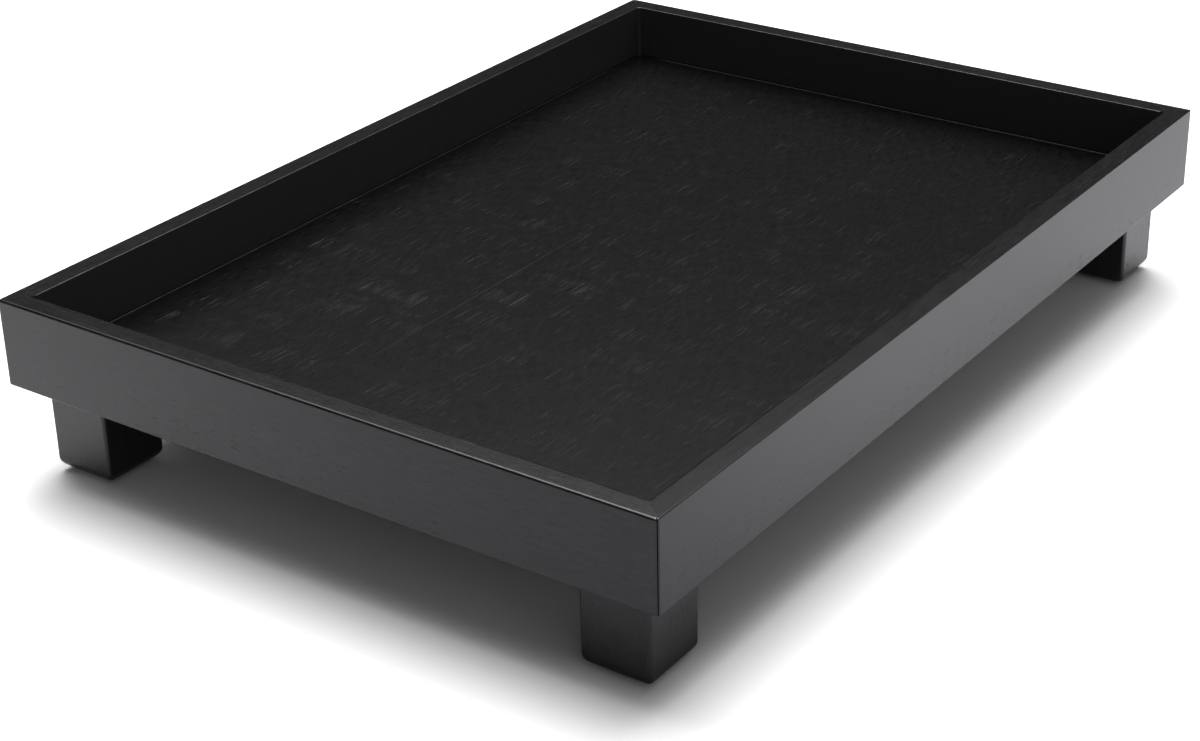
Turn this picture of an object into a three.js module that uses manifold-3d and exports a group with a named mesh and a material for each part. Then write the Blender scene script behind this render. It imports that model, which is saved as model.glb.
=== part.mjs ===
// A low serving tray in black-stained timber: four mitred rails hold a tongued base panel,
// which stands on four square feet.
// Millimetres, +Z up. The origin is on the table under the middle of the tray, with the
// long sides along X.

import * as THREE from 'three';
import { mergeVertices } from 'three/addons/utils/BufferGeometryUtils.js';
import Module from 'manifold-3d';

const wasm = await Module();
wasm.setup();

// Tray outline
const LENGTH = 425;
const WIDTH = 300;
const CORNER_RADIUS = 1.2;

// Rails
const RAIL_HEIGHT = 36;
const RAIL_THICKNESS = 10;
const RAIL_EDGE_RADIUS = 0.9;
const MITRE_GAP = 0.15; // left for glue on each face of a mitre

// Base panel, with a tongue round the middle of its edge
const PANEL_THICKNESS = 9;
const PANEL_RISE = 1.6; // from the underside of the rails up to the panel's underside
const PANEL_GAP = 0.3; // between the panel's faces and the rails
const TONGUE_THICKNESS = 4;
const TONGUE_REACH = 5; // into the rails
const TONGUE_GAP = 0.3; // between the tongue and each face of its groove

// Mitre splines
const SPLINE_THICKNESS = 2.5;
const SPLINE_COVER = 1.6; // timber left between a spline's slot and the faces of the rails
const SPLINE_END_COVER = 4; // timber left above and below the slot
const SPLINE_GAP = 0.3;

// Feet
const FOOT_SIDE = 29;
const FOOT_DROP = 37.8; // from the underside of the rails down to the foot's bottom face
const FOOT_EDGE_RADIUS = 1.5; // upright edges
const FOOT_BOTTOM_RADIUS = 4.5; // round the bottom face
const FOOT_ARC_STEPS = 6;
const FOOT_GAP = 0.2; // between a foot and the rails beside it
const FOOT_SEAT_GAP = 0.2; // glue between a foot and the base panel

// Foot screws, driven upwards from a counterbore in the foot
const SCREW_HEAD_RADIUS = 4;
const SCREW_HEAD_HEIGHT = 2.8;
const SCREW_HEAD_ROUND = 1.2;
const SCREW_SHANK_RADIUS = 2;
const SCREW_TIP_HEIGHT = 3;
const SCREW_COVER = 3; // base panel left over the screw's tip
const SCREW_SOLE = 14; // foot left between the screw head's seat and the base panel
const SCREW_GAP = 0.3; // round the screw and under its head
const ROUND_SIDES = 24;

// Felt pads
const PAD_MARGIN = 1; // from the pad's edge to the edge of the foot's flat bottom
const PAD_THICKNESS = 1;
const PAD_GAP = 0.2; // adhesive between pad and foot
const PAD_SIDES = 40;

// Heights above the table
const FOOT_BOTTOM = PAD_THICKNESS + PAD_GAP;
const RAIL_BOTTOM = FOOT_BOTTOM + FOOT_DROP;
const PANEL_BOTTOM = RAIL_BOTTOM + PANEL_RISE;
const FOOT_TOP = PANEL_BOTTOM - FOOT_SEAT_GAP;
const SCREW_SEAT = FOOT_TOP - SCREW_SOLE;
const SCREW_BITE = PANEL_THICKNESS - SCREW_COVER;
const SCREW_TIP = PANEL_BOTTOM + SCREW_BITE;

// Heights above the underside of a rail
const TONGUE_MIDDLE = PANEL_RISE + PANEL_THICKNESS / 2;
const GROOVE_BOTTOM = TONGUE_MIDDLE - TONGUE_THICKNESS / 2 - TONGUE_GAP;
const GROOVE_TOP = TONGUE_MIDDLE + TONGUE_THICKNESS / 2 + TONGUE_GAP;
const SLOT_BOTTOM = GROOVE_TOP + SPLINE_END_COVER;
const SLOT_TOP = RAIL_HEIGHT - SPLINE_END_COVER;

// Depths in from the outside of a rail
const GROOVE_FLOOR = RAIL_THICKNESS - TONGUE_REACH - TONGUE_GAP;
const TONGUE_INSET = RAIL_THICKNESS - TONGUE_REACH;
const PANEL_INSET = RAIL_THICKNESS + PANEL_GAP;
const FOOT_CENTRE_INSET = RAIL_THICKNESS + FOOT_GAP + FOOT_SIDE / 2;
const PAD_RADIUS = FOOT_SIDE / 2 - FOOT_BOTTOM_RADIUS - PAD_MARGIN;

// A spline lies across the middle of the mitre
const SPLINE_INSET = RAIL_THICKNESS / 2;
const SLOT_THICKNESS = SPLINE_THICKNESS + 2 * SPLINE_GAP;
const SLOT_WIDTH = (RAIL_THICKNESS - 2 * SPLINE_COVER) * Math.SQRT2 - SLOT_THICKNESS;
const SPLINE_WIDTH = SLOT_WIDTH - 2 * SPLINE_GAP;
const SLOT_HEIGHT = SLOT_TOP - SLOT_BOTTOM;
const SPLINE_HEIGHT = SLOT_HEIGHT - 2 * SPLINE_GAP;
const SPLINE_MIDDLE = (SLOT_BOTTOM + SLOT_TOP) / 2;

// How far a cutter passes the face that it cuts through
const CUT_PAST = 2;

// Fineness of an eased edge
const ARC_POINTS = 3;

const QUARTER = Math.PI / 2;

const BLACK_TIMBER = { color: 0x1d1d1e, roughness: 0.45, metalness: 0 };
const PALE_TIMBER = { color: 0xb58d5c, roughness: 0.7, metalness: 0 };
const ZINC = { color: 0x8f9296, roughness: 0.35, metalness: 1 };
const FELT = { color: 0x2b2a29, roughness: 0.95, metalness: 0 };

const CORNERS = [
  { name: 'front_left', x: -1, y: -1 },
  { name: 'front_right', x: 1, y: -1 },
  { name: 'back_left', x: -1, y: 1 },
  { name: 'back_right', x: 1, y: 1 },
];

// A geometry as a solid that can be cut.
function solid(geometry) {
  const bare = geometry.clone();
  bare.deleteAttribute('normal');
  bare.deleteAttribute('uv');
  const merged = mergeVertices(bare);
  const shell = new wasm.Mesh({
    numProp: 3,
    vertProperties: new Float32Array(merged.attributes.position.array),
    triVerts: new Uint32Array(merged.index.array),
  });
  return new wasm.Manifold(shell);
}

// A cut solid as a geometry.
function geometryOf(body) {
  const shell = body.getMesh();
  const geometry = new THREE.BufferGeometry();
  geometry.setAttribute('position', new THREE.BufferAttribute(new Float32Array(shell.vertProperties), 3));
  geometry.setIndex(new THREE.BufferAttribute(new Uint32Array(shell.triVerts), 1));
  geometry.computeVertexNormals();
  return geometry;
}

// A blank with each of the cutters taken out of it.
function cut(blank, cutters) {
  const body = cutters.reduce((rest, cutter) => rest.subtract(solid(cutter)), solid(blank));
  return geometryOf(body);
}

// A named piece with its finish, placed in its group.
function piece(name, geometry, finish, place, turn = 0) {
  const mesh = new THREE.Mesh(geometry, new THREE.MeshStandardMaterial(finish));
  mesh.name = name;
  mesh.position.set(...place);
  mesh.rotation.z = turn;
  return mesh;
}

// A lathe-turned piece about Z from [radius, height] pairs, listed from the bottom up.
function turned(profile, sides) {
  const points = profile.map(([radius, height]) => new THREE.Vector2(radius, height));
  return new THREE.LatheGeometry(points, sides).rotateX(QUARTER);
}

// A rail's section, from its outer face at 0 to its inner face: eased edges and the groove
// for the panel's tongue.
function railSection() {
  const r = RAIL_EDGE_RADIUS;
  const section = new THREE.Shape();
  section.absarc(r, r, r, 2 * QUARTER, 3 * QUARTER);
  section.absarc(RAIL_THICKNESS - r, r, r, -QUARTER, 0);
  section.lineTo(RAIL_THICKNESS, GROOVE_BOTTOM);
  section.lineTo(GROOVE_FLOOR, GROOVE_BOTTOM);
  section.lineTo(GROOVE_FLOOR, GROOVE_TOP);
  section.lineTo(RAIL_THICKNESS, GROOVE_TOP);
  section.absarc(RAIL_THICKNESS - r, RAIL_HEIGHT - r, r, 0, QUARTER);
  section.absarc(r, RAIL_HEIGHT - r, r, QUARTER, 2 * QUARTER);
  return section;
}

// Moves the ends of an extruded rail in by each point's own depth, which mitres them.
function mitre(geometry, length) {
  const points = geometry.attributes.position;
  for (let i = 0; i < points.count; i += 1) {
    const back = points.getX(i) + MITRE_GAP * Math.SQRT2;
    const along = points.getZ(i) < length / 2 ? back : length - back;
    points.setZ(i, along);
  }
  return geometry;
}

// Cutter that eases the upright corner of the frame at the end of a rail.
function cornerCutter(end, halfLength) {
  const r = CORNER_RADIUS;
  const waste = new THREE.Shape();
  waste.absarc(r, r, r, 2 * QUARTER, 3 * QUARTER);
  waste.lineTo(r, -CUT_PAST);
  waste.lineTo(-CUT_PAST, -CUT_PAST);
  waste.lineTo(-CUT_PAST, r);
  const height = RAIL_HEIGHT + 2 * CUT_PAST;
  const cutter = new THREE.ExtrudeGeometry(waste, {
    depth: height,
    bevelEnabled: false,
    curveSegments: ARC_POINTS,
  });
  const turn = end < 0 ? 0 : QUARTER;
  return cutter.rotateZ(turn).translate(end * halfLength, 0, -CUT_PAST);
}

// Cutter for the slot that takes half of a spline at the end of a rail.
function slotCutter(end, halfLength) {
  const slot = new THREE.BoxGeometry(SLOT_WIDTH, SLOT_THICKNESS, SLOT_HEIGHT);
  slot.rotateZ(end * QUARTER / 2);
  return slot.translate(end * (halfLength - SPLINE_INSET), SPLINE_INSET, SPLINE_MIDDLE);
}

// A rail along X, its outer face on y = 0 and its underside on z = 0.
function rail(length) {
  const blank = new THREE.ExtrudeGeometry(railSection(), {
    depth: length,
    bevelEnabled: false,
    curveSegments: ARC_POINTS,
  });
  mitre(blank, length);
  blank.rotateX(QUARTER).rotateZ(QUARTER).translate(-length / 2, 0, 0);
  const cutters = [-1, 1].flatMap((end) => [
    cornerCutter(end, length / 2),
    slotCutter(end, length / 2),
  ]);
  return cut(blank, cutters);
}

// A rectangle about the origin, inset from the tray's outline.
function outline(inset, Kind) {
  const x = LENGTH / 2 - inset;
  const y = WIDTH / 2 - inset;
  return new Kind([
    new THREE.Vector2(-x, -y),
    new THREE.Vector2(x, -y),
    new THREE.Vector2(x, y),
    new THREE.Vector2(-x, y),
  ]);
}

// Cutter for the rebate round one face of the panel, which leaves the tongue.
function rebateCutter(bottom) {
  const ring = outline(TONGUE_INSET - CUT_PAST, THREE.Shape);
  ring.holes.push(outline(PANEL_INSET, THREE.Path));
  const depth = (PANEL_THICKNESS - TONGUE_THICKNESS) / 2 + CUT_PAST;
  return new THREE.ExtrudeGeometry(ring, { depth, bevelEnabled: false }).translate(0, 0, bottom);
}

// The base panel about the origin, its underside on z = 0, with a pilot hole over each foot.
function panel() {
  const blank = new THREE.ExtrudeGeometry(outline(TONGUE_INSET, THREE.Shape), {
    depth: PANEL_THICKNESS,
    bevelEnabled: false,
  });
  const pilot = turned([
    [0, -CUT_PAST],
    [SCREW_SHANK_RADIUS + SCREW_GAP, -CUT_PAST],
    [SCREW_SHANK_RADIUS + SCREW_GAP, SCREW_BITE - SCREW_TIP_HEIGHT + SCREW_GAP],
    [0, SCREW_BITE + SCREW_GAP],
  ], ROUND_SIDES);
  const pilots = CORNERS.map((corner) => pilot.clone().translate(footX(corner), footY(corner), 0));
  const upperRebate = (PANEL_THICKNESS + TONGUE_THICKNESS) / 2;
  return cut(blank, [rebateCutter(-CUT_PAST), rebateCutter(upperRebate), ...pilots]);
}

// Middle of the foot at a corner.
function footX(corner) {
  return corner.x * (LENGTH / 2 - FOOT_CENTRE_INSET);
}

function footY(corner) {
  return corner.y * (WIDTH / 2 - FOOT_CENTRE_INSET);
}

// Points round a square with rounded corners.
function roundedSquare(side, radius) {
  const reach = side / 2 - radius;
  const square = new THREE.Shape();
  square.absarc(reach, reach, radius, 0, QUARTER);
  square.absarc(-reach, reach, radius, QUARTER, 2 * QUARTER);
  square.absarc(-reach, -reach, radius, 2 * QUARTER, 3 * QUARTER);
  square.absarc(reach, -reach, radius, 3 * QUARTER, 4 * QUARTER);
  return square.getPoints(ARC_POINTS);
}

// A solid skinned over closed rings with the same number of points, listed from the bottom up.
function loft(rings) {
  const around = rings[0].points.length;
  const positions = rings.flatMap(({ points, z }) => points.flatMap((point) => [point.x, point.y, z]));
  const indices = [];
  for (let level = 0; level < rings.length - 1; level += 1) {
    for (let i = 0; i < around; i += 1) {
      const next = (i + 1) % around;
      const low = level * around;
      const high = low + around;
      indices.push(low + i, low + next, high + next, low + i, high + next, high + i);
    }
  }
  const roof = (rings.length - 1) * around;
  for (let i = 1; i < around - 1; i += 1) {
    indices.push(0, i + 1, i, roof, roof + i, roof + i + 1);
  }
  const geometry = new THREE.BufferGeometry();
  geometry.setAttribute('position', new THREE.Float32BufferAttribute(positions, 3));
  geometry.setIndex(indices);
  return geometry;
}

// A foot about the origin, its bottom face on z = 0, bored from below for its screw.
function foot() {
  const r = FOOT_BOTTOM_RADIUS;
  const height = FOOT_TOP - FOOT_BOTTOM;
  const rings = [];
  for (let step = 0; step <= FOOT_ARC_STEPS; step += 1) {
    const angle = (step / FOOT_ARC_STEPS) * QUARTER;
    const side = FOOT_SIDE - 2 * r * (1 - Math.sin(angle));
    rings.push({ points: roundedSquare(side, FOOT_EDGE_RADIUS), z: r * (1 - Math.cos(angle)) });
  }
  rings.push({ points: roundedSquare(FOOT_SIDE, FOOT_EDGE_RADIUS), z: height });
  const seat = SCREW_SEAT - FOOT_BOTTOM;
  const bore = turned([
    [0, -CUT_PAST],
    [SCREW_HEAD_RADIUS + SCREW_GAP, -CUT_PAST],
    [SCREW_HEAD_RADIUS + SCREW_GAP, seat],
    [SCREW_SHANK_RADIUS + SCREW_GAP, seat],
    [SCREW_SHANK_RADIUS + SCREW_GAP, height + CUT_PAST],
    [0, height + CUT_PAST],
  ], ROUND_SIDES);
  return cut(loft(rings), [bore]);
}

// A screw with its tip upwards, the seat of its head on z = 0.
function screw() {
  const tip = SCREW_TIP - SCREW_SEAT + SCREW_GAP;
  return turned([
    [0, -SCREW_HEAD_HEIGHT],
    [SCREW_HEAD_RADIUS - SCREW_HEAD_ROUND, -SCREW_HEAD_HEIGHT],
    [SCREW_HEAD_RADIUS, SCREW_HEAD_ROUND - SCREW_HEAD_HEIGHT],
    [SCREW_HEAD_RADIUS, 0],
    [SCREW_SHANK_RADIUS, 0],
    [SCREW_SHANK_RADIUS, tip - SCREW_TIP_HEIGHT],
    [0, tip],
  ], ROUND_SIDES);
}

// A felt disc with its underside on z = 0.
function pad() {
  return turned([
    [0, 0],
    [PAD_RADIUS, 0],
    [PAD_RADIUS, PAD_THICKNESS],
    [0, PAD_THICKNESS],
  ], PAD_SIDES);
}

// The four rails and the splines across their mitres, with their undersides on z = 0.
function frame() {
  const longRail = rail(LENGTH);
  const shortRail = rail(WIDTH);
  const spline = new THREE.BoxGeometry(SPLINE_WIDTH, SPLINE_THICKNESS, SPLINE_HEIGHT);
  const group = new THREE.Group();
  group.add(
    piece('rail_front', longRail, BLACK_TIMBER, [0, -WIDTH / 2, 0]),
    piece('rail_back', longRail, BLACK_TIMBER, [0, WIDTH / 2, 0], 2 * QUARTER),
    piece('rail_left', shortRail, BLACK_TIMBER, [-LENGTH / 2, 0, 0], -QUARTER),
    piece('rail_right', shortRail, BLACK_TIMBER, [LENGTH / 2, 0, 0], QUARTER),
  );
  for (const corner of CORNERS) {
    const x = corner.x * (LENGTH / 2 - SPLINE_INSET);
    const y = corner.y * (WIDTH / 2 - SPLINE_INSET);
    const turn = -corner.x * corner.y * QUARTER / 2;
    group.add(piece(`mitre_spline_${corner.name}`, spline, PALE_TIMBER, [x, y, SPLINE_MIDDLE], turn));
  }
  return group;
}

// The feet, each with its screw and pad, standing on z = 0.
function feet() {
  const footBlock = foot();
  const footScrew = screw();
  const footPad = pad();
  const group = new THREE.Group();
  for (const corner of CORNERS) {
    const stand = new THREE.Group();
    stand.position.set(footX(corner), footY(corner), 0);
    stand.add(
      piece(`foot_${corner.name}`, footBlock, BLACK_TIMBER, [0, 0, FOOT_BOTTOM]),
      piece(`foot_screw_${corner.name}`, footScrew, ZINC, [0, 0, SCREW_SEAT - SCREW_GAP]),
      piece(`foot_pad_${corner.name}`, footPad, FELT, [0, 0, 0]),
    );
    group.add(stand);
  }
  return group;
}

const railFrame = frame();
railFrame.position.z = RAIL_BOTTOM;

const tray = new THREE.Group();
tray.name = 'tray';
tray.add(railFrame, feet(), piece('base_panel', panel(), BLACK_TIMBER, [0, 0, PANEL_BOTTOM]));

export default tray;
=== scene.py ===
"""Looks of a low serving tray in black-stained timber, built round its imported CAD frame.

Metres, +Z up. The origin is on the table under the middle of the tray, with the long sides
along X. Sizes in the classes are in millimetres, as in the part's own drawing.
"""

import logging
import math
from dataclasses import dataclass
from enum import Enum

import bmesh
import bpy
from mathutils import Matrix, Vector


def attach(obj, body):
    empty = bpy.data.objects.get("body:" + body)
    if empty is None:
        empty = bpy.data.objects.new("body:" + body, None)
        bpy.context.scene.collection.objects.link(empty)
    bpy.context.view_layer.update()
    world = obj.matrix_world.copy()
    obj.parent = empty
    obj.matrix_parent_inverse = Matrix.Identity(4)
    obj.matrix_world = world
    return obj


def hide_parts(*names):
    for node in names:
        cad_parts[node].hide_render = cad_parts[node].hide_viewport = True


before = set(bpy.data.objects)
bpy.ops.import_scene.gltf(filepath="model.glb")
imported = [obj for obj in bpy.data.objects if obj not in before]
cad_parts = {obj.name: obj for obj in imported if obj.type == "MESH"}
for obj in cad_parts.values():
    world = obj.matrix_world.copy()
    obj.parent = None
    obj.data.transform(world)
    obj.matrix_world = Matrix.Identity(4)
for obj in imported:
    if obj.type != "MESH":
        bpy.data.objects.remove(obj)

MM = 0.001
PER_MM = (1 / MM, 1 / MM, 1 / MM)
QUARTER = math.pi / 2
BODY = "root"
WELD_DISTANCE = 0.0005 * MM
AXIS_RADIUS = 0.02  # how near a turned outline comes to its axis, in millimetres
THREAD_SIDES = 4
THREAD_STEPS = 20  # along each turn of a thread

FLOAT = "NodeSocketFloat"
VECTOR = "NodeSocketVector"
INTEGER = "NodeSocketInt"
MATERIAL = "NodeSocketMaterial"
GEOMETRY = "NodeSocketGeometry"

log = logging.getLogger("tray")

Material = bpy.types.Material
Mesh = bpy.types.Mesh
Node = bpy.types.Node
Outputs = bpy.types.NodeOutputs
Socket = bpy.types.NodeSocket
Source = Socket | float | int | tuple | str
Feeds = dict[str, Source]
Point2 = tuple[float, float]
Point3 = tuple[float, float, float]
Colour3 = tuple[float, float, float]
Colour4 = tuple[float, float, float, float]
Step = tuple[float, float, float, float]  # where a smooth step starts and ends, and its two results


class Corner(Enum):
    """A corner of the tray, with the signs of its X and Y."""

    FRONT_LEFT = (-1, -1)
    FRONT_RIGHT = (1, -1)
    BACK_LEFT = (-1, 1)
    BACK_RIGHT = (1, 1)

    @property
    def label(self) -> str:
        """The corner's name in the CAD frame."""
        return self.name.lower()


class Grain(Enum):
    """Direction of the grain, with the turn that lays it along a pattern's own X."""

    ALONG_X = (0.0, 0.0, 0.0)
    ALONG_Y = (0.0, 0.0, -QUARTER)
    ALONG_Z = (0.0, QUARTER, 0.0)


class TreeBuilder:
    """Adds nodes to one node tree and joins them."""

    def __init__(self, tree: bpy.types.NodeTree) -> None:
        """Starts on a shader or geometry tree."""
        self.tree = tree

    def add(self, kind: str, feeds: Feeds | None = None, **settings: object) -> Node:
        """Adds a node.

        Args:
            kind: Blender's name for the kind of node.
            feeds: What goes into its inputs, by name.
            settings: Properties of the node, by name.

        Returns:
            The new node.
        """
        node = self.tree.nodes.new(kind)
        for name, value in settings.items():
            setattr(node, name, value)
        self.feed_all(node, feeds or {})
        return node

    def feed(self, socket: Socket, source: Source) -> None:
        """Links or sets an input.

        Args:
            socket: The input.
            source: An output to link to it, or the value to set on it.
        """
        if isinstance(source, Socket):
            self.tree.links.new(source, socket)
        else:
            socket.default_value = source

    def feed_all(self, node: Node, feeds: Feeds) -> None:
        """Feeds a node's inputs, by name."""
        for name, source in feeds.items():
            self.feed(node.inputs[name], source)

    def operate(self, kind: str, operation: str, sources: tuple[Source, ...]) -> Outputs:
        """Adds a node of arithmetic.

        Args:
            kind: Blender's name for the kind of node.
            operation: The operation.
            sources: Its operands in order.

        Returns:
            The node's outputs.
        """
        node = self.add(kind, operation=operation)
        for socket, source in zip(node.inputs, sources):
            self.feed(socket, source)
        return node.outputs

    def math(self, operation: str, *sources: Source) -> Socket:
        """The result of an operation on numbers."""
        return self.operate("ShaderNodeMath", operation, sources)[0]

    def vector(self, operation: str, *sources: Source) -> Socket:
        """The resulting vector of an operation on vectors."""
        return self.operate("ShaderNodeVectorMath", operation, sources)["Vector"]

    def dot(self, first: Source, second: Source) -> Socket:
        """The dot product of two vectors."""
        return self.operate("ShaderNodeVectorMath", "DOT_PRODUCT", (first, second))["Value"]

    def combine(self, x: Source, y: Source, z: Source) -> Socket:
        """A vector from its three parts."""
        return self.add("ShaderNodeCombineXYZ", {"X": x, "Y": y, "Z": z}).outputs[0]

    def split(self, vector: Source) -> Outputs:
        """The X, Y and Z of a vector, by name."""
        return self.add("ShaderNodeSeparateXYZ", {"Vector": vector}).outputs

    def attribute(self, name: str) -> Socket:
        """A number that a material's mesh carries."""
        return self.add("ShaderNodeAttribute", attribute_name=name).outputs["Fac"]

    def blend(self, value: Source, low: float, high: float, start: Source, end: Source) -> Socket:
        """A smooth step from a start to an end, while a value goes from low to high."""
        feeds = {"Value": value, "From Min": low, "From Max": high, "To Min": start, "To Max": end}
        return self.add("ShaderNodeMapRange", feeds, interpolation_type="SMOOTHSTEP").outputs["Result"]

    def mix(self, kind: str, share: Source, first: Source, second: Source) -> Socket:
        """A mix of two colours or vectors.

        Args:
            kind: RGBA for colours, VECTOR for vectors.
            share: How much of the second there is.
            first: The first.
            second: The second.

        Returns:
            The mixture.
        """
        node = self.add("ShaderNodeMix", data_type=kind)
        self.feed(node.inputs["Factor"], share)
        ends = [socket for socket in node.inputs if socket.type == kind][-2:]
        for socket, source in zip(ends, (first, second)):
            self.feed(socket, source)
        return next(socket for socket in node.outputs if socket.type == kind)

    def tint(self, share: Source, first: Source, second: Source) -> Socket:
        """A mix of two colours, with a share of the second."""
        return self.mix("RGBA", share, first, second)


class NodeGroup:
    """A node group with named inputs and outputs."""

    def __init__(self, name: str, kind: str, inputs: dict[str, str], outputs: dict[str, str]) -> None:
        """Makes the group with its sockets.

        Args:
            name: Name of the group.
            kind: Blender's name for the kind of tree.
            inputs: Socket type of each input, by name.
            outputs: Socket type of each output, by name.
        """
        self.tree = bpy.data.node_groups.new(name, kind)
        sockets = self.tree.interface
        self.identifiers: dict[str, str] = {}
        for label, sort in inputs.items():
            socket = sockets.new_socket(name=label, in_out="INPUT", socket_type=sort)
            self.identifiers[label] = socket.identifier
        for label, sort in outputs.items():
            sockets.new_socket(name=label, in_out="OUTPUT", socket_type=sort)
        self.build = TreeBuilder(self.tree)
        self.inputs = self.build.add("NodeGroupInput").outputs
        self.output = self.build.add("NodeGroupOutput")

    def put_out(self, label: str, source: Source) -> None:
        """Feeds one of the group's outputs."""
        self.build.feed(self.output.inputs[label], source)


class ShapeTree(NodeGroup):
    """A Geometry Nodes tree with named inputs, which turns an outline into a piece of the tray."""

    def __init__(self, name: str, numbers: tuple[str, ...], counts: tuple[str, ...]) -> None:
        """Makes the tree, which also takes the outline, a place and a material.

        Args:
            name: Name of the tree.
            numbers: Names of its inputs for lengths, angles and turns.
            counts: Names of its inputs for whole numbers.
        """
        inputs = {"Geometry": GEOMETRY} | dict.fromkeys(numbers, FLOAT) | dict.fromkeys(counts, INTEGER)
        inputs |= {"Place": VECTOR, "Material": MATERIAL}
        super().__init__(name, "GeometryNodeTree", inputs, {"Geometry": GEOMETRY})

    def step(self, kind: str, feeds: Feeds | None = None, **settings: object) -> Socket:
        """What a new geometry node puts out first, its kind without Blender's prefix."""
        return self.build.add(f"GeometryNode{kind}", feeds, **settings).outputs[0]

    def keep(self, geometry: Source, label: str, value: Source, kind: str = "FLOAT") -> Socket:
        """Geometry with a value of one of Blender's types stored on each point, under a name."""
        feeds = {"Geometry": geometry, "Name": label, "Value": value}
        return self.step("StoreNamedAttribute", feeds, data_type=kind, domain="POINT")

    def read(self, label: str, kind: str = "FLOAT") -> Socket:
        """A value stored under a name, of one of Blender's attribute types."""
        return self.step("InputNamedAttribute", {"Name": label}, data_type=kind)

    def drop(self, geometry: Source, labels: tuple[str, ...]) -> Socket:
        """Removes working attributes.

        Args:
            geometry: The geometry.
            labels: Names of the attributes.

        Returns:
            The geometry without them.
        """
        for label in labels:
            geometry = self.step("RemoveAttribute", {"Geometry": geometry, "Name": label})
        return geometry

    def section(self, outline: Source, across: str) -> Socket:
        """An outline as a curve that remembers its own coordinates.

        Args:
            outline: The outline, a loop of edges.
            across: Name that its X is kept under. Its Y is kept as the height.

        Returns:
            The curve.
        """
        drawn = self.build.split(self.step("InputPosition"))
        outline = self.keep(outline, across, drawn["X"])
        outline = self.keep(outline, "height", drawn["Y"])
        return self.step("MeshToCurve", {"Mesh": outline})

    def sweep(self, path: Source, section: Source, caps: bool) -> Socket:
        """A section run along a path curve, its ends closed or not."""
        return self.step("CurveToMesh", {"Curve": path, "Profile Curve": section, "Fill Caps": caps})

    def move_to(self, geometry: Source, position: Source) -> Socket:
        """Geometry with each point put where a field says."""
        return self.step("SetPosition", {"Geometry": geometry, "Position": position})

    def set_down(self, geometry: Source, place: Source, turn: Source = 0.0) -> Socket:
        """A shape turned about Z by an angle, and then moved to its place."""
        angles = self.build.combine(0.0, 0.0, turn)
        return self.step("Transform", {"Geometry": geometry, "Translation": place, "Rotation": angles})

    def close(self, geometry: Source) -> None:
        """Ends the tree: real geometry in the given material.

        Args:
            geometry: The finished shape.
        """
        real = self.step("RealizeInstances", {"Geometry": geometry})
        dressed = self.step("SetMaterial", {"Geometry": real, "Material": self.inputs["Material"]})
        self.put_out("Geometry", dressed)

    def run(self, name: str, outline: list[Point2], values: dict[str, object]) -> Mesh:
        """Evaluates the tree on an outline.

        Args:
            name: Name of the resulting mesh.
            outline: The outline's points, in millimetres.
            values: The value of each input, by name.

        Returns:
            The result as a plain mesh.
        """
        maker = bpy.data.objects.new(f"{name}_maker", loop_mesh(f"{name}_outline", outline))
        bpy.context.scene.collection.objects.link(maker)
        modifier = maker.modifiers.new(self.tree.name, "NODES")
        modifier.node_group = self.tree
        for label, value in values.items():
            modifier[self.identifiers[label]] = value
        made = plain_copy(maker, name)
        maker.modifiers.remove(modifier)
        bpy.data.objects.remove(maker)
        return made


class ShaderGroup(NodeGroup):
    """A shader node group that materials share."""

    def __init__(self, name: str, inputs: dict[str, str], outputs: tuple[str, ...]) -> None:
        """Makes the group.

        Args:
            name: Name of the group.
            inputs: Socket type of each input, by name.
            outputs: Names of the numbers it puts out.
        """
        super().__init__(name, "ShaderNodeTree", inputs, dict.fromkeys(outputs, FLOAT))

    def use(self, build: TreeBuilder, feeds: Feeds) -> Outputs:
        """Places the group in a material's tree, and gives its outputs by name."""
        return build.add("ShaderNodeGroup", feeds, node_tree=self.tree).outputs


def plain_copy(maker: bpy.types.Object, name: str) -> Mesh:
    """An object's mesh with its modifiers applied.

    Args:
        maker: The object.
        name: Name of the new mesh.

    Returns:
        The new mesh.
    """
    bpy.context.view_layer.update()
    graph = bpy.context.evaluated_depsgraph_get()
    mesh = bpy.data.meshes.new_from_object(maker.evaluated_get(graph), depsgraph=graph)
    mesh.name = name
    return mesh


def loop_mesh(name: str, points: list[Point2]) -> Mesh:
    """A closed loop of edges in the XY plane.

    Args:
        name: Name of the mesh.
        points: The loop's points, in millimetres.

    Returns:
        The mesh.
    """
    mesh = bpy.data.meshes.new(name)
    count = len(points)
    edges = [(i, (i + 1) % count) for i in range(count)]
    mesh.from_pydata([(x * MM, y * MM, 0.0) for x, y in points], edges, [])
    return mesh


def arc(centre: Point2, radius: float, start: float, end: float, steps: int) -> list[Point2]:
    """Points along a circular arc between two angles, with both ends."""
    angles = [start + (end - start) * i / steps for i in range(steps + 1)]
    return [(centre[0] + radius * math.cos(a), centre[1] + radius * math.sin(a)) for a in angles]


def in_metres(lengths: dict[str, float]) -> dict[str, float]:
    """Named lengths, given in millimetres, in metres."""
    return {name: length * MM for name, length in lengths.items()}


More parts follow.
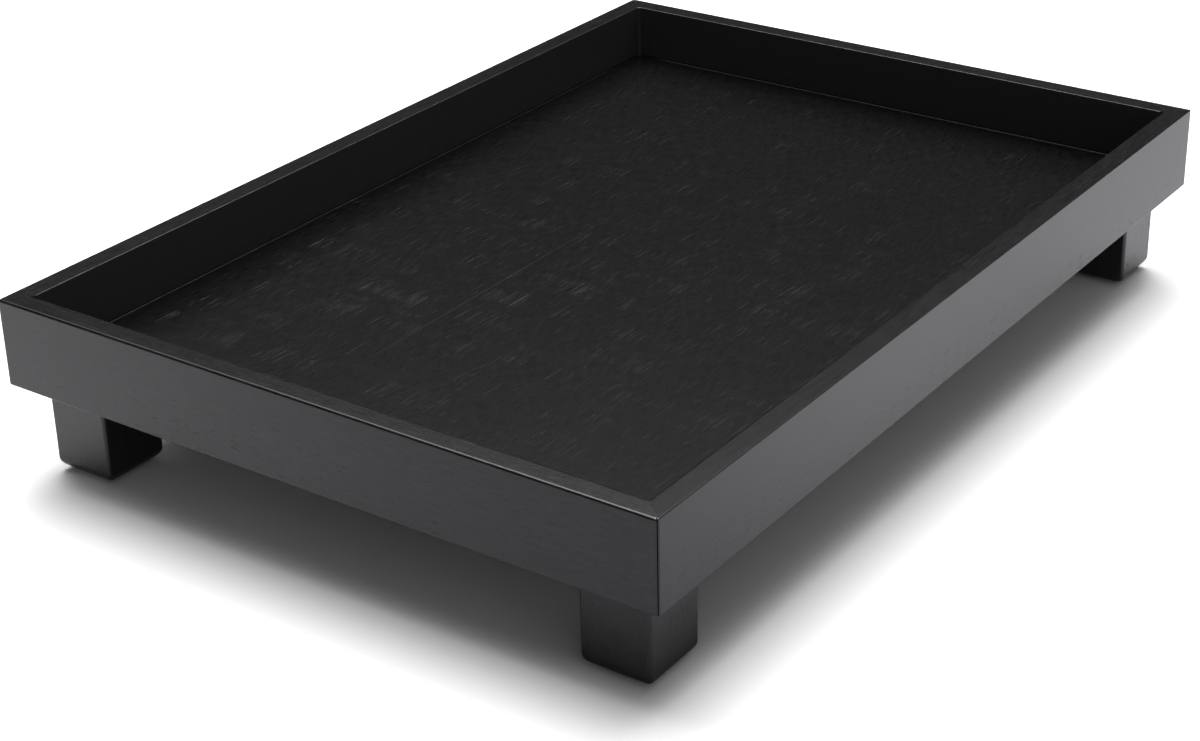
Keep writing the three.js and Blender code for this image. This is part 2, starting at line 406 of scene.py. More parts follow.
def trued(mesh: Mesh, sharp_angle: float) -> Mesh:
    """Closes a mesh's seams, points its faces outwards and evens its shading.

    Args:
        mesh: The mesh, which is used up.
        sharp_angle: Angle in degrees past which an edge stays crisp.

    Returns:
        The trued mesh.
    """
    shell = bmesh.new()
    shell.from_mesh(mesh)
    bmesh.ops.remove_doubles(shell, verts=shell.verts, dist=WELD_DISTANCE)
    bmesh.ops.recalc_face_normals(shell, faces=shell.faces)
    shell.to_mesh(mesh)
    shell.free()
    for polygon in mesh.polygons:
        polygon.use_smooth = True
    mesh.set_sharp_from_angle(angle=math.radians(sharp_angle))
    name = mesh.name
    maker = bpy.data.objects.new(f"{name}_trued", mesh)
    bpy.context.scene.collection.objects.link(maker)
    evened = maker.modifiers.new("Even faces", "WEIGHTED_NORMAL")
    evened.keep_sharp = True
    made = plain_copy(maker, name)
    maker.modifiers.remove(evened)
    bpy.data.objects.remove(maker)
    return made


def fit_piece(name: str, mesh: Mesh, node: str) -> None:
    """Puts a finished mesh on the tray in place of its CAD node.

    Args:
        name: Name of the piece.
        mesh: Its mesh, in place.
        node: The CAD node that it stands for.
    """
    piece = bpy.data.objects.new(name, mesh)
    bpy.context.scene.collection.objects.link(piece)
    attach(piece, BODY)
    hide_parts(node)
    log.info("%s: %d faces, stands for %s", name, len(mesh.polygons), node)


def sized(vector: Source, size: Point2) -> Feeds:
    """What goes into a timber pattern: where it is read, and its length and width."""
    return {"Vector": vector, "Length": size[0], "Width": size[1]}


def opaque(colour: Colour3, part: float = 1.0) -> Colour4:
    """A colour, or a part of it, with full cover."""
    return (*[channel * part for channel in colour], 1.0)


class TimberGroups:
    """The patterns that the timbers share. Their coordinates are millimetres, grain along X."""

    INPUTS = {"Vector": VECTOR, "Length": FLOAT, "Width": FLOAT}
    BLOTCH_SCALE = (0.028, 0.09, 0.09)
    PORE_REACH = (0.22, 0.2)  # spread and least of a pore's reach, as a share of its cell
    PORE_EDGE = 0.6
    PORE_LEAST = 0.4

    def __init__(self) -> None:
        """Builds each group once."""
        self.pores = self._pores()
        self.fibre = self._fibre()
        self.figure = self._figure()

    @staticmethod
    def _stretched(group: ShaderGroup) -> Socket:
        """A group's coordinates, drawn out along the grain by its length and width."""
        stretch = group.build.combine(*(group.inputs[side] for side in ("Length", "Width", "Width")))
        return group.build.vector("DIVIDE", group.inputs["Vector"], stretch)

    def _pores(self) -> ShaderGroup:
        """Open pores cut along their length: short streaks that come in clusters.

        Returns:
            The group.
        """
        inputs = self.INPUTS | {"Share": FLOAT, "Cluster": FLOAT}
        group = ShaderGroup("Open pores", inputs, ("Mask",))
        build, given = group.build, group.inputs
        spot = build.split(given["Vector"])
        along = build.math("DIVIDE", spot["X"], given["Length"])
        across = build.math("DIVIDE", build.math("ADD", spot["Y"], spot["Z"]), given["Width"])
        cells = build.add(
            "ShaderNodeTexVoronoi",
            {"Vector": build.combine(along, across, 0.0), "Scale": 1.0, "Randomness": 1.0},
            voronoi_dimensions="2D",
            feature="F1",
        )
        chance = build.add("ShaderNodeSeparateColor", {"Color": cells.outputs["Color"]}).outputs
        wanted = build.math("MULTIPLY", given["Share"], given["Cluster"])
        present = build.math("LESS_THAN", chance["Red"], wanted)
        reach = build.math("MULTIPLY_ADD", chance["Green"], *self.PORE_REACH)
        nearness = build.math("SUBTRACT", 1.0, build.math("DIVIDE", cells.outputs["Distance"], reach))
        streak = build.blend(nearness, 0.0, self.PORE_EDGE, 0.0, 1.0)
        depth = build.math("MULTIPLY_ADD", chance["Blue"], 1.0 - self.PORE_LEAST, self.PORE_LEAST)
        group.put_out("Mask", build.math("MULTIPLY", build.math("MULTIPLY", streak, present), depth))
        return group

    def _fibre(self) -> ShaderGroup:
        """Fine fibres drawn out along the grain.

        Returns:
            The group.
        """
        group = ShaderGroup("Drawn fibre", self.INPUTS, ("Value",))
        feeds = {"Vector": self._stretched(group), "Scale": 1.0, "Detail": 1.0, "Roughness": 0.5}
        group.put_out("Value", group.build.add("ShaderNodeTexNoise", feeds).outputs["Fac"])
        return group

    def _figure(self) -> ShaderGroup:
        """Broad bands and blotches where the stain took unevenly.

        Returns:
            The group.
        """
        group = ShaderGroup("Stain figure", self.INPUTS, ("Bands", "Blotches"))
        build = group.build
        level = build.vector("MULTIPLY", group.inputs["Vector"], self.BLOTCH_SCALE)
        for label, vector, detail in (("Bands", self._stretched(group), 2.0), ("Blotches", level, 3.0)):
            feeds = {"Vector": vector, "Scale": 1.0, "Detail": detail}
            group.put_out(label, build.add("ShaderNodeTexNoise", feeds).outputs["Fac"])
        return group


class Finish:
    """A material under way, with its tree and shader."""

    def __init__(self, name: str, grain: Grain) -> None:
        """Starts the material.

        Args:
            name: Name of the material.
            grain: Direction of its grain, which its coordinates put along X, in millimetres.
        """
        self.material = bpy.data.materials.new(name)
        self.material.use_nodes = True
        self.build = TreeBuilder(self.material.node_tree)
        self.shader = self.material.node_tree.nodes["Principled BSDF"]
        spot = self.build.add("ShaderNodeTexCoord").outputs["Object"]
        feeds = {"Vector": spot, "Rotation": grain.value, "Scale": PER_MM}
        self.along = self.build.add("ShaderNodeMapping", feeds).outputs["Vector"]

    def relief(self, height: Source, distance: float) -> Socket:
        """The normal of a surface with a height, over a distance in metres."""
        feeds = {"Strength": 1.0, "Distance": distance, "Height": height}
        return self.build.add("ShaderNodeBump", feeds).outputs["Normal"]

    def done(self, feeds: Feeds) -> Material:
        """Feeds the shader's inputs, by name, and gives the material."""
        self.build.feed_all(self.shader, feeds)
        return self.material


@dataclass(frozen=True)
class Seam:
    """A glue line between two boards, along the grain, where it shows."""

    across: float
    start: float
    end: float
    edges: Point2 = (0.15, 0.45)
    fade_in: float = 20.0
    fade_out: float = 40.0
    strength: float = 3.0

    def share(self, build: TreeBuilder, spot: Outputs) -> Socket:
        """How much of the line there is at a place.

        Args:
            build: The material's tree.
            spot: The place's coordinates, by name.

        Returns:
            The share.
        """
        away = build.math("ABSOLUTE", build.math("SUBTRACT", spot["Y"], self.across))
        line = build.blend(away, *self.edges, 1.0, 0.0)
        begun = build.blend(spot["X"], self.start - self.fade_in, self.start + self.fade_in, 0.0, 1.0)
        ended = build.blend(spot["X"], self.end - self.fade_out, self.end + self.fade_out, 1.0, 0.0)
        return build.math("MULTIPLY", line, build.math("MULTIPLY", begun, ended))


@dataclass(frozen=True)
class StainedTimber:
    """Open-pored timber, stained black and satin lacquered. A size is a length and a width."""

    name: str
    grain: Grain
    stain: Colour3 = (0.0078, 0.0079, 0.0086)
    # pores' colour: dark stain on the rails; on the panel a pale colour that paints glints on the pore edges
    pore_stain_and_glint: Colour3 = (0.004, 0.004, 0.004)
    # painted light: the inner walls take a paler colour than the stain, in place of light on them
    wall_painted_light: Colour3 = (0.046, 0.046, 0.049)
    # the mitre joint's dark line: partly the joint itself, partly painted shade and dark reflection in the
    # corner
    joint_glue_and_painted_shade: Colour3 = (0.003, 0.003, 0.0028)
    figure_size: Point2 = (160.0, 9.0)
    fibre_size: Point2 = (3.0, 0.13)
    tooth_size: Point2 = (0.13, 0.13)
    streak_size: Point2 = (7.0, 0.4)
    streak_edges: Point2 = (0.32, 0.68)
    streak_range: Point2 = (0.4, 1.9)
    index: float = 1.6
    roughness: float = 0.19
    roughness_spread: float = 0.03
    joint_roughness: float = 0.4
    pore_roughness: float = 0.2
    pore_size: Point2 = (10.0, 0.5)
    pore_share: float = 0.42
    pore_depth: float = 0.030
    pore_cluster: Point2 = (0.36, 0.68)
    pore_stray: float = 0.06
    pore_bands: Step = (0.3, 0.65, 0.25, 1.0)
    # painted highlight: where along the grain the pores, and their painted glints, fade out
    painted_glint_fade: Point2 = (1000.0, 2000.0)
    faded_pores: float = 0.25
    short_pores: float = 0.7
    short_size: Point2 = (0.45, 0.7)
    rim_pores: float = 0.2
    grain_depth: float = 0.014
    fibre_depth: float = 0.024
    tooth_depth: float = 0.008
    is_rail: bool = False
    seams: tuple[Seam, ...] = ()

    def open_pores(self, finish: Finish, groups: TimberGroups, figure: Outputs) -> Socket:
        """Long and short pores, in clusters, fading out along the grain where their painted glints stop.

        Args:
            finish: The material under way.
            groups: The shared timber patterns.
            figure: The stain's bands and blotches.

        Returns:
            How much of a pore there is.
        """
        build = finish.build
        cluster = build.blend(figure["Blotches"], *self.pore_cluster, self.pore_stray, 1.0)
        cluster = build.math("MULTIPLY", cluster, build.blend(figure["Bands"], *self.pore_bands))
        # painted highlight: pores fade along the grain to where their glints no longer show
        fade = build.blend(build.split(finish.along)["X"], *self.painted_glint_fade, 1.0, self.faded_pores)
        chance = {"Share": self.pore_share, "Cluster": build.math("MULTIPLY", cluster, fade)}
        small = (self.pore_size[0] * self.short_size[0], self.pore_size[1] * self.short_size[1])
        long_pores, short_pores = (
            groups.pores.use(build, sized(finish.along, size) | chance)["Mask"]
            for size in (self.pore_size, small)
        )
        pores = build.math("MAXIMUM", long_pores, build.math("MULTIPLY", short_pores, self.short_pores))
        if self.is_rail:
            kept = build.math("MULTIPLY_ADD", build.attribute("rim"), self.rim_pores - 1.0, 1.0)
            pores = build.math("MULTIPLY", pores, kept)
        return pores

    def make(self, groups: TimberGroups) -> Material:
        """Builds the material.

        Args:
            groups: The shared timber patterns.

        Returns:
            The material.
        """
        finish = Finish(self.name, self.grain)
        build = finish.build
        figure = groups.figure.use(build, sized(finish.along, self.figure_size))
        pores = self.open_pores(finish, groups, figure)
        fibre, tooth, streak = (
            groups.fibre.use(build, sized(finish.along, size))["Value"]
            for size in (self.fibre_size, self.tooth_size, self.streak_size)
        )
        deep, pale = (opaque(self.stain, part) for part in self.streak_range)
        colour = build.tint(build.blend(streak, *self.streak_edges, 0.0, 1.0), deep, pale)
        # pores take their colour: dark stain on the rails, painted glints on the panel
        colour = build.tint(pores, colour, opaque(self.pore_stain_and_glint))
        least = self.roughness - 0.5 * self.roughness_spread
        rough = build.math("MULTIPLY_ADD", figure["Blotches"], self.roughness_spread, least)
        rough = build.math("MULTIPLY_ADD", pores, self.pore_roughness, rough)
        height = build.math("MULTIPLY", pores, -self.pore_depth)
        reliefs = ((fibre, self.fibre_depth), (tooth, self.tooth_depth), (streak, self.grain_depth))
        for relief, depth in reliefs:
            height = build.math("MULTIPLY_ADD", relief, depth, height)
        if self.is_rail:
            # painted light: the inner wall face is coloured paler than the stain, standing in for light on
            # it
            colour = build.tint(build.attribute("wall"), colour, opaque(self.wall_painted_light))
            # darkens the colour along the mitres: partly the joint itself, partly painted shade and dark
            # reflection, lighter towards the foot
            line = build.attribute("joint_line_and_painted_shade")
            colour = build.tint(line, colour, opaque(self.joint_glue_and_painted_shade))
            rough = build.math("MULTIPLY_ADD", build.math("POWER", line, 2.0), self.joint_roughness, rough)
        for seam in self.seams:
            shown = seam.share(build, build.split(finish.along))
            colour = build.tint(shown, colour, opaque(self.stain, seam.strength))
        finish.shader.inputs["IOR"].default_value = self.index
        return finish.done({"Base Color": colour, "Roughness": rough, "Normal": finish.relief(height, MM)})


@dataclass(frozen=True)
class PaleTimber:
    """Bare hardwood for the splines, with a fine straight grain."""

    name: str
    dark: Colour4 = (0.36, 0.21, 0.09, 1.0)
    light: Colour4 = (0.52, 0.34, 0.17, 1.0)
    roughness: float = 0.62
    roughness_spread: float = 0.15
    fibre_size: Point2 = (18.0, 0.6)
    fibre_depth: float = 0.03

    def make(self, groups: TimberGroups) -> Material:
        """Builds the material.

        Args:
            groups: The shared timber patterns.

        Returns:
            The material.
        """
        finish = Finish(self.name, Grain.ALONG_Z)
        build = finish.build
        fibre = groups.fibre.use(build, sized(finish.along, self.fibre_size))["Value"]
        feeds = {
            "Base Color": build.tint(fibre, self.dark, self.light),
            "Roughness": build.math("MULTIPLY_ADD", fibre, self.roughness_spread, self.roughness),
            "Normal": finish.relief(fibre, self.fibre_depth * MM),
        }
        return finish.done(feeds)


@dataclass(frozen=True)
class ZincSteel:
    """Bright zinc-plated steel with the cloudy bloom of the plating."""

    name: str
    dull: Colour4 = (0.42, 0.43, 0.45, 1.0)
    bright: Colour4 = (0.62, 0.63, 0.64, 1.0)
    roughness: float = 0.28
    roughness_spread: float = 0.2
    bloom_scale: float = 0.9

    def make(self) -> Material:
        """Builds the material.

        Returns:
            The material.
        """
        finish = Finish(self.name, Grain.ALONG_X)
        build = finish.build
        finish.shader.inputs["Metallic"].default_value = 1.0
        noise = {"Vector": finish.along, "Scale": self.bloom_scale, "Detail": 3.0}
        bloom = build.add("ShaderNodeTexNoise", noise).outputs["Fac"]
        feeds = {
            "Base Color": build.tint(bloom, self.dull, self.bright),
            "Roughness": build.math("MULTIPLY_ADD", bloom, self.roughness_spread, self.roughness),
        }
        return finish.done(feeds)


@dataclass(frozen=True)
class Felt:
    """Pressed wool felt with tangled fibres."""

    name: str
    dark: Colour4 = (0.012, 0.012, 0.012, 1.0)
    light: Colour4 = (0.04, 0.039, 0.038, 1.0)
    roughness: float = 0.95
    sheen: float = 0.3
    tangle_scale: float = 1.8
    tangle_depth: float = 0.15

    def make(self) -> Material:
        """Builds the material.

        Returns:
            The material.
        """
        finish = Finish(self.name, Grain.ALONG_X)
        build = finish.build
        finish.shader.inputs["Roughness"].default_value = self.roughness
        finish.shader.inputs["Sheen Weight"].default_value = self.sheen
        noise = {"Vector": finish.along, "Scale": self.tangle_scale, "Detail": 4.0}
        noise |= {"Roughness": 0.7, "Distortion": 2.0}
        tangle = build.add("ShaderNodeTexNoise", noise).outputs["Fac"]
        feeds = {
            "Base Color": build.tint(tangle, self.dark, self.light),
            "Normal": finish.relief(tangle, self.tangle_depth * MM),
        }
        return finish.done(feeds)


@dataclass
class Outline:
    """Outer sizes that the pieces share, in millimetres."""

    length: float = 425.0
    width: float = 300.0
    rail_bottom: float = 39.0
    rail_thickness: float = 10.0
    inner_corner: float = 1.6


@dataclass
class RailFrame:
    """The four mitred rails, each swept from one section, and the splines in their mitres.

    Edge radii of the top are those of the outer and the inner edge. The smooth steps run across
    a rail as shares of its thickness, or up it in millimetres.
    """

    outline: Outline
    groups: TimberGroups
    height: float = 36.0
    edge_radius: float = 0.5
    front_edges: Point2 = (0.5, 1.8)
    left_edges: Point2 = (1.1, 1.8)
    far_edges: Point2 = (1.2, 0.3)
    edge_steps: int = 8
    outer_corner: float = 1.2
    corner_steps: int = 6
    mitre_gap: float = 0.01
    groove_bottom: float = 3.8
    groove_top: float = 8.4
    groove_floor: float = 4.7
    joint_groove: float = 0.22
    notch_across: Step = (0.0, 0.12, 1.0, 0.0)
    line_across: Step = (0.02, 0.25, 1.0, 0.12)
    wall_across: Step = (0.97, 1.0, 0.0, 1.0)
    line_rise: Point2 = (0.0, 34.0)
    line_foot: float = 0.4
    line_steps: float = 2.0
    rim_rise: Point2 = (34.0, 35.6)
    sharp_angle: float = 40.0

    def section(self, top_radii: Point2) -> list[Point2]:
        """The rail's section: x is the depth in from the outer face, y the height.

        Args:
            top_radii: Radii of its outer and inner top edges, in millimetres.

        Returns:
            Its points, in millimetres.
        """
        r = self.edge_radius
        deep = self.outline.rail_thickness
        steps = self.edge_steps
        points = arc((r, r), r, 2 * QUARTER, 3 * QUARTER, steps)
        points += arc((deep - r, r), r, -QUARTER, 0.0, steps)
        points += [
            (deep, self.groove_bottom),
            (self.groove_floor, self.groove_bottom),
            (self.groove_floor, self.groove_top),
            (deep, self.groove_top),
        ]
        outer, inner = top_radii
        points += arc((deep - inner, self.height - inner), inner, 0.0, QUARTER, steps)
        points += arc((outer, self.height - outer), outer, QUARTER, 2 * QUARTER, steps)
        return points

    def mark(self, shape: ShapeTree, swept: Socket, across: Socket, step: Socket) -> Socket:
        """Stores where a rail's joint lines (partly painted shade), inner wall (painted lighter) and rim
        are.

        Args:
            shape: The tree under way.
            swept: The rail.
            across: Depth in from the outer face, as a share of the thickness.
            step: Steps from the nearer end.

        Returns:
            The marked rail.
        """
        build, height = shape.build, shape.read("height")
        low, high = (level * MM for level in self.line_rise)
        away = build.math("MINIMUM", build.math("DIVIDE", step, self.line_steps), 1.0)
        near = build.math("SUBTRACT", 1.0, away)
        dark = build.math("MULTIPLY", near, build.blend(across, *self.line_across))
        # painted shade: the joint line grows lighter towards the foot of the rail
        line = build.math("MULTIPLY", dark, build.blend(height, low, high, self.line_foot, 1.0))
        low, high = (level * MM for level in self.rim_rise)
        marked = shape.keep(swept, "joint_line_and_painted_shade", line)
        # marks the inner wall face, whose colour is lightened there as painted light
        marked = shape.keep(marked, "wall", build.blend(across, *self.wall_across))
        return shape.keep(marked, "rim", build.blend(height, low, high, 0.0, 1.0))

    def sweep_tree(self) -> ShapeTree:
        """Tree that sweeps a section along a rail, rounds the corners and mitres the ends.

        Returns:
            The tree.
        """
        corners = ("Outer corner", "Inner corner")
        numbers = ("Length", "Thickness", *corners, "Mitre gap", "Joint groove", "Turn")
        shape = ShapeTree("Mitred rail", numbers, ("Corner steps",))
        build, given = shape.build, shape.inputs
        section = shape.section(given["Geometry"], "depth")
        stations = build.math("MULTIPLY_ADD", given["Corner steps"], 2.0, 2.0)
        line = shape.step("MeshLine", {"Count": stations, "Offset": (MM, 0.0, 0.0)})
        line = shape.keep(line, "station", shape.step("InputIndex"))
        path = shape.step("MeshToCurve", {"Mesh": line})
        swept = shape.sweep(path, section, True)

        station, depth = shape.read("station"), shape.read("depth")
        last = build.math("SUBTRACT", stations, 1.0)
        step = build.math("MINIMUM", station, build.math("SUBTRACT", last, station))
        share = build.math("DIVIDE", step, given["Corner steps"])
        angle = build.math("MULTIPLY_ADD", share, QUARTER / 2, QUARTER / 2)
        sine, cosine = build.math("SINE", angle), build.math("COSINE", angle)
        across = build.math("DIVIDE", depth, given["Thickness"])
        spread = build.math("SUBTRACT", given["Inner corner"], given["Outer corner"])
        radius = build.math("MULTIPLY_ADD", across, spread, given["Outer corner"])
        slip = build.math("MULTIPLY", build.math("SUBTRACT", sine, cosine), radius)
        pulled = build.math("MULTIPLY_ADD", build.math("SUBTRACT", 1.0, sine), radius, depth)
        at_joint = build.math("SUBTRACT", 1.0, build.math("MINIMUM", step, 1.0))
        outside = build.blend(across, *self.notch_across)
        notch = build.math("MULTIPLY", build.math("MULTIPLY", at_joint, outside), given["Joint groove"])
        pulled = build.math("ADD", pulled, notch)
        back = build.math("ADD", slip, build.math("MULTIPLY_ADD", given["Mitre gap"], math.sqrt(2), pulled))
        right = build.math("GREATER_THAN", station, build.math("MULTIPLY", last, 0.5))
        side = build.math("MULTIPLY_ADD", right, 2.0, -1.0)
        reach = build.math("SUBTRACT", build.math("MULTIPLY", given["Length"], 0.5), back)
        position = build.combine(build.math("MULTIPLY", side, reach), pulled, shape.read("height"))
        rail = shape.move_to(self.mark(shape, swept, across, step), position)
        rail = shape.drop(rail, ("depth", "height", "station"))
        shape.close(shape.set_down(rail, given["Place"], given["Turn"]))
        return shape

    def build_rails(self) -> None:
        """Makes the four rails in place of their CAD nodes."""
        tree = self.sweep_tree()
        length, width = self.outline.length, self.outline.width
        along_x = StainedTimber("rail timber, long", Grain.ALONG_X, is_rail=True).make(self.groups)
        along_y = StainedTimber("rail timber, short", Grain.ALONG_Y, is_rail=True).make(self.groups)
        rails = (
            ("rail_front", length, (0.0, -width / 2), 0.0, along_x, self.front_edges),
            ("rail_back", length, (0.0, width / 2), 2 * QUARTER, along_x, self.far_edges),
            ("rail_left", width, (-length / 2, 0.0), -QUARTER, along_y, self.left_edges),
            ("rail_right", width, (length / 2, 0.0), QUARTER, along_y, self.far_edges),
        )
        for node, run, middle, turn, timber, top_radii in rails:
            lengths = {
                "Length": run,
                "Thickness": self.outline.rail_thickness,
                "Outer corner": self.outer_corner,
                "Inner corner": self.outline.inner_corner,
                "Mitre gap": self.mitre_gap,
                "Joint groove": self.joint_groove,
            }
            values = in_metres(lengths) | {
                "Corner steps": self.corner_steps,
                "Place": (middle[0] * MM, middle[1] * MM, self.outline.rail_bottom * MM),
                "Turn": turn,
                "Material": timber,
            }
            name = f"{node}_timber"
            mesh = trued(tree.run(name, self.section(top_radii), values), self.sharp_angle)
            fit_piece(name, mesh, node)

    def dress_splines(self) -> None:
        """Gives the hidden splines, whose CAD shape is right, their timber."""
        timber = PaleTimber("spline timber").make(self.groups)
        for corner in Corner:
            node = f"mitre_spline_{corner.label}"
            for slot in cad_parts[node].material_slots:
                slot.material = timber
            log.info("%s: CAD node kept, dressed in bare timber", node)


@dataclass
class BasePanel:
    """The tongued panel that the rails hold, with lacquer gathered where it meets the walls."""

    outline: Outline
    groups: TimberGroups
    bottom: float = 40.6
    thickness: float = 9.0
    rail_gap: float = 0.03
    under_gap: float = 0.3
    under_ease: float = 0.5
    tongue_thickness: float = 4.0
    tongue_reach: float = 5.0
    cove_radius: float = 0.7
    cove_steps: int = 6
    corner_steps: int = 6
    sharp_angle: float = 35.0
    timber: StainedTimber = StainedTimber(
        "panel timber",
        Grain.ALONG_X,
        stain=(0.0074, 0.0074, 0.0078),
        streak_range=(0.5, 1.7),
        # painted highlight: pale pores stand in for glints on their edges
        pore_stain_and_glint=(0.034, 0.034, 0.035),
        index=1.36,
        pore_roughness=0.0,
        pore_share=0.28,
        pore_size=(22.0, 0.26),
        pore_cluster=(0.42, 0.74),
        short_pores=0.35,
        fibre_depth=0.020,
        tooth_depth=0.004,
        # painted highlight: the glinting pores fade out across the panel, where the light no longer catches
        # them
        painted_glint_fade=(-60.0, 150.0),
        seams=(Seam(across=33.0, start=-130.0, end=0.0),),
    )

    def profile(self) -> list[Point2]:
        """The panel's edge: x is the inset from the tray's outline, y the height.

        Returns:
            Points from the underside round the tongue to the top face, in millimetres.
        """
        wall = self.outline.rail_thickness
        top = self.bottom + self.thickness
        middle = self.bottom + self.thickness / 2
        low, high = middle - self.tongue_thickness / 2, middle + self.tongue_thickness / 2
        tip = wall - self.tongue_reach
        under = wall + self.under_gap
        lip = wall + self.rail_gap
        r = self.cove_radius
        points = [
            (under + self.under_ease, self.bottom),
            (under, self.bottom + self.under_ease),
            (under, low),
            (tip, low),
            (tip, high),
            (lip, high),
        ]
        return points + arc((lip + r, top + r), r, 2 * QUARTER, 3 * QUARTER, self.cove_steps)

    def ring(self, inset: float, height: float) -> list[Point3]:
        """A rectangle with rounded corners.

        Args:
            inset: How far it lies inside the tray's outline.
            height: Its height above the table.

        Returns:
            Its points, in metres.
        """
        reach_x = self.outline.length / 2 - inset
        reach_y = self.outline.width / 2 - inset
        radius = self.outline.inner_corner
        points = []
        for quarter, (sx, sy) in enumerate(((1, 1), (-1, 1), (-1, -1), (1, -1))):
            centre = (sx * (reach_x - radius), sy * (reach_y - radius))
            start = quarter * QUARTER
            points += arc(centre, radius, start, start + QUARTER, self.corner_steps)
        return [(x * MM, y * MM, height * MM) for x, y in points]

    def build_panel(self) -> None:
        """Makes the panel in place of its CAD node."""
        rings = [self.ring(inset, height) for inset, height in self.profile()]
        shell = bmesh.new()
        rows = [[shell.verts.new(point) for point in ring] for ring in rings]
        for low, high in zip(rows, rows[1:]):
            count = len(low)
            for i in range(count):
                j = (i + 1) % count
                shell.faces.new((low[i], low[j], high[j], high[i]))
        shell.faces.new(reversed(rows[0]))
        shell.faces.new(rows[-1])
        mesh = bpy.data.meshes.new("base_panel_timber")
        shell.to_mesh(mesh)
        shell.free()
        mesh.materials.append(self.timber.make(self.groups))
        fit_piece("base_panel_timber", trued(mesh, self.sharp_angle), "base_panel")


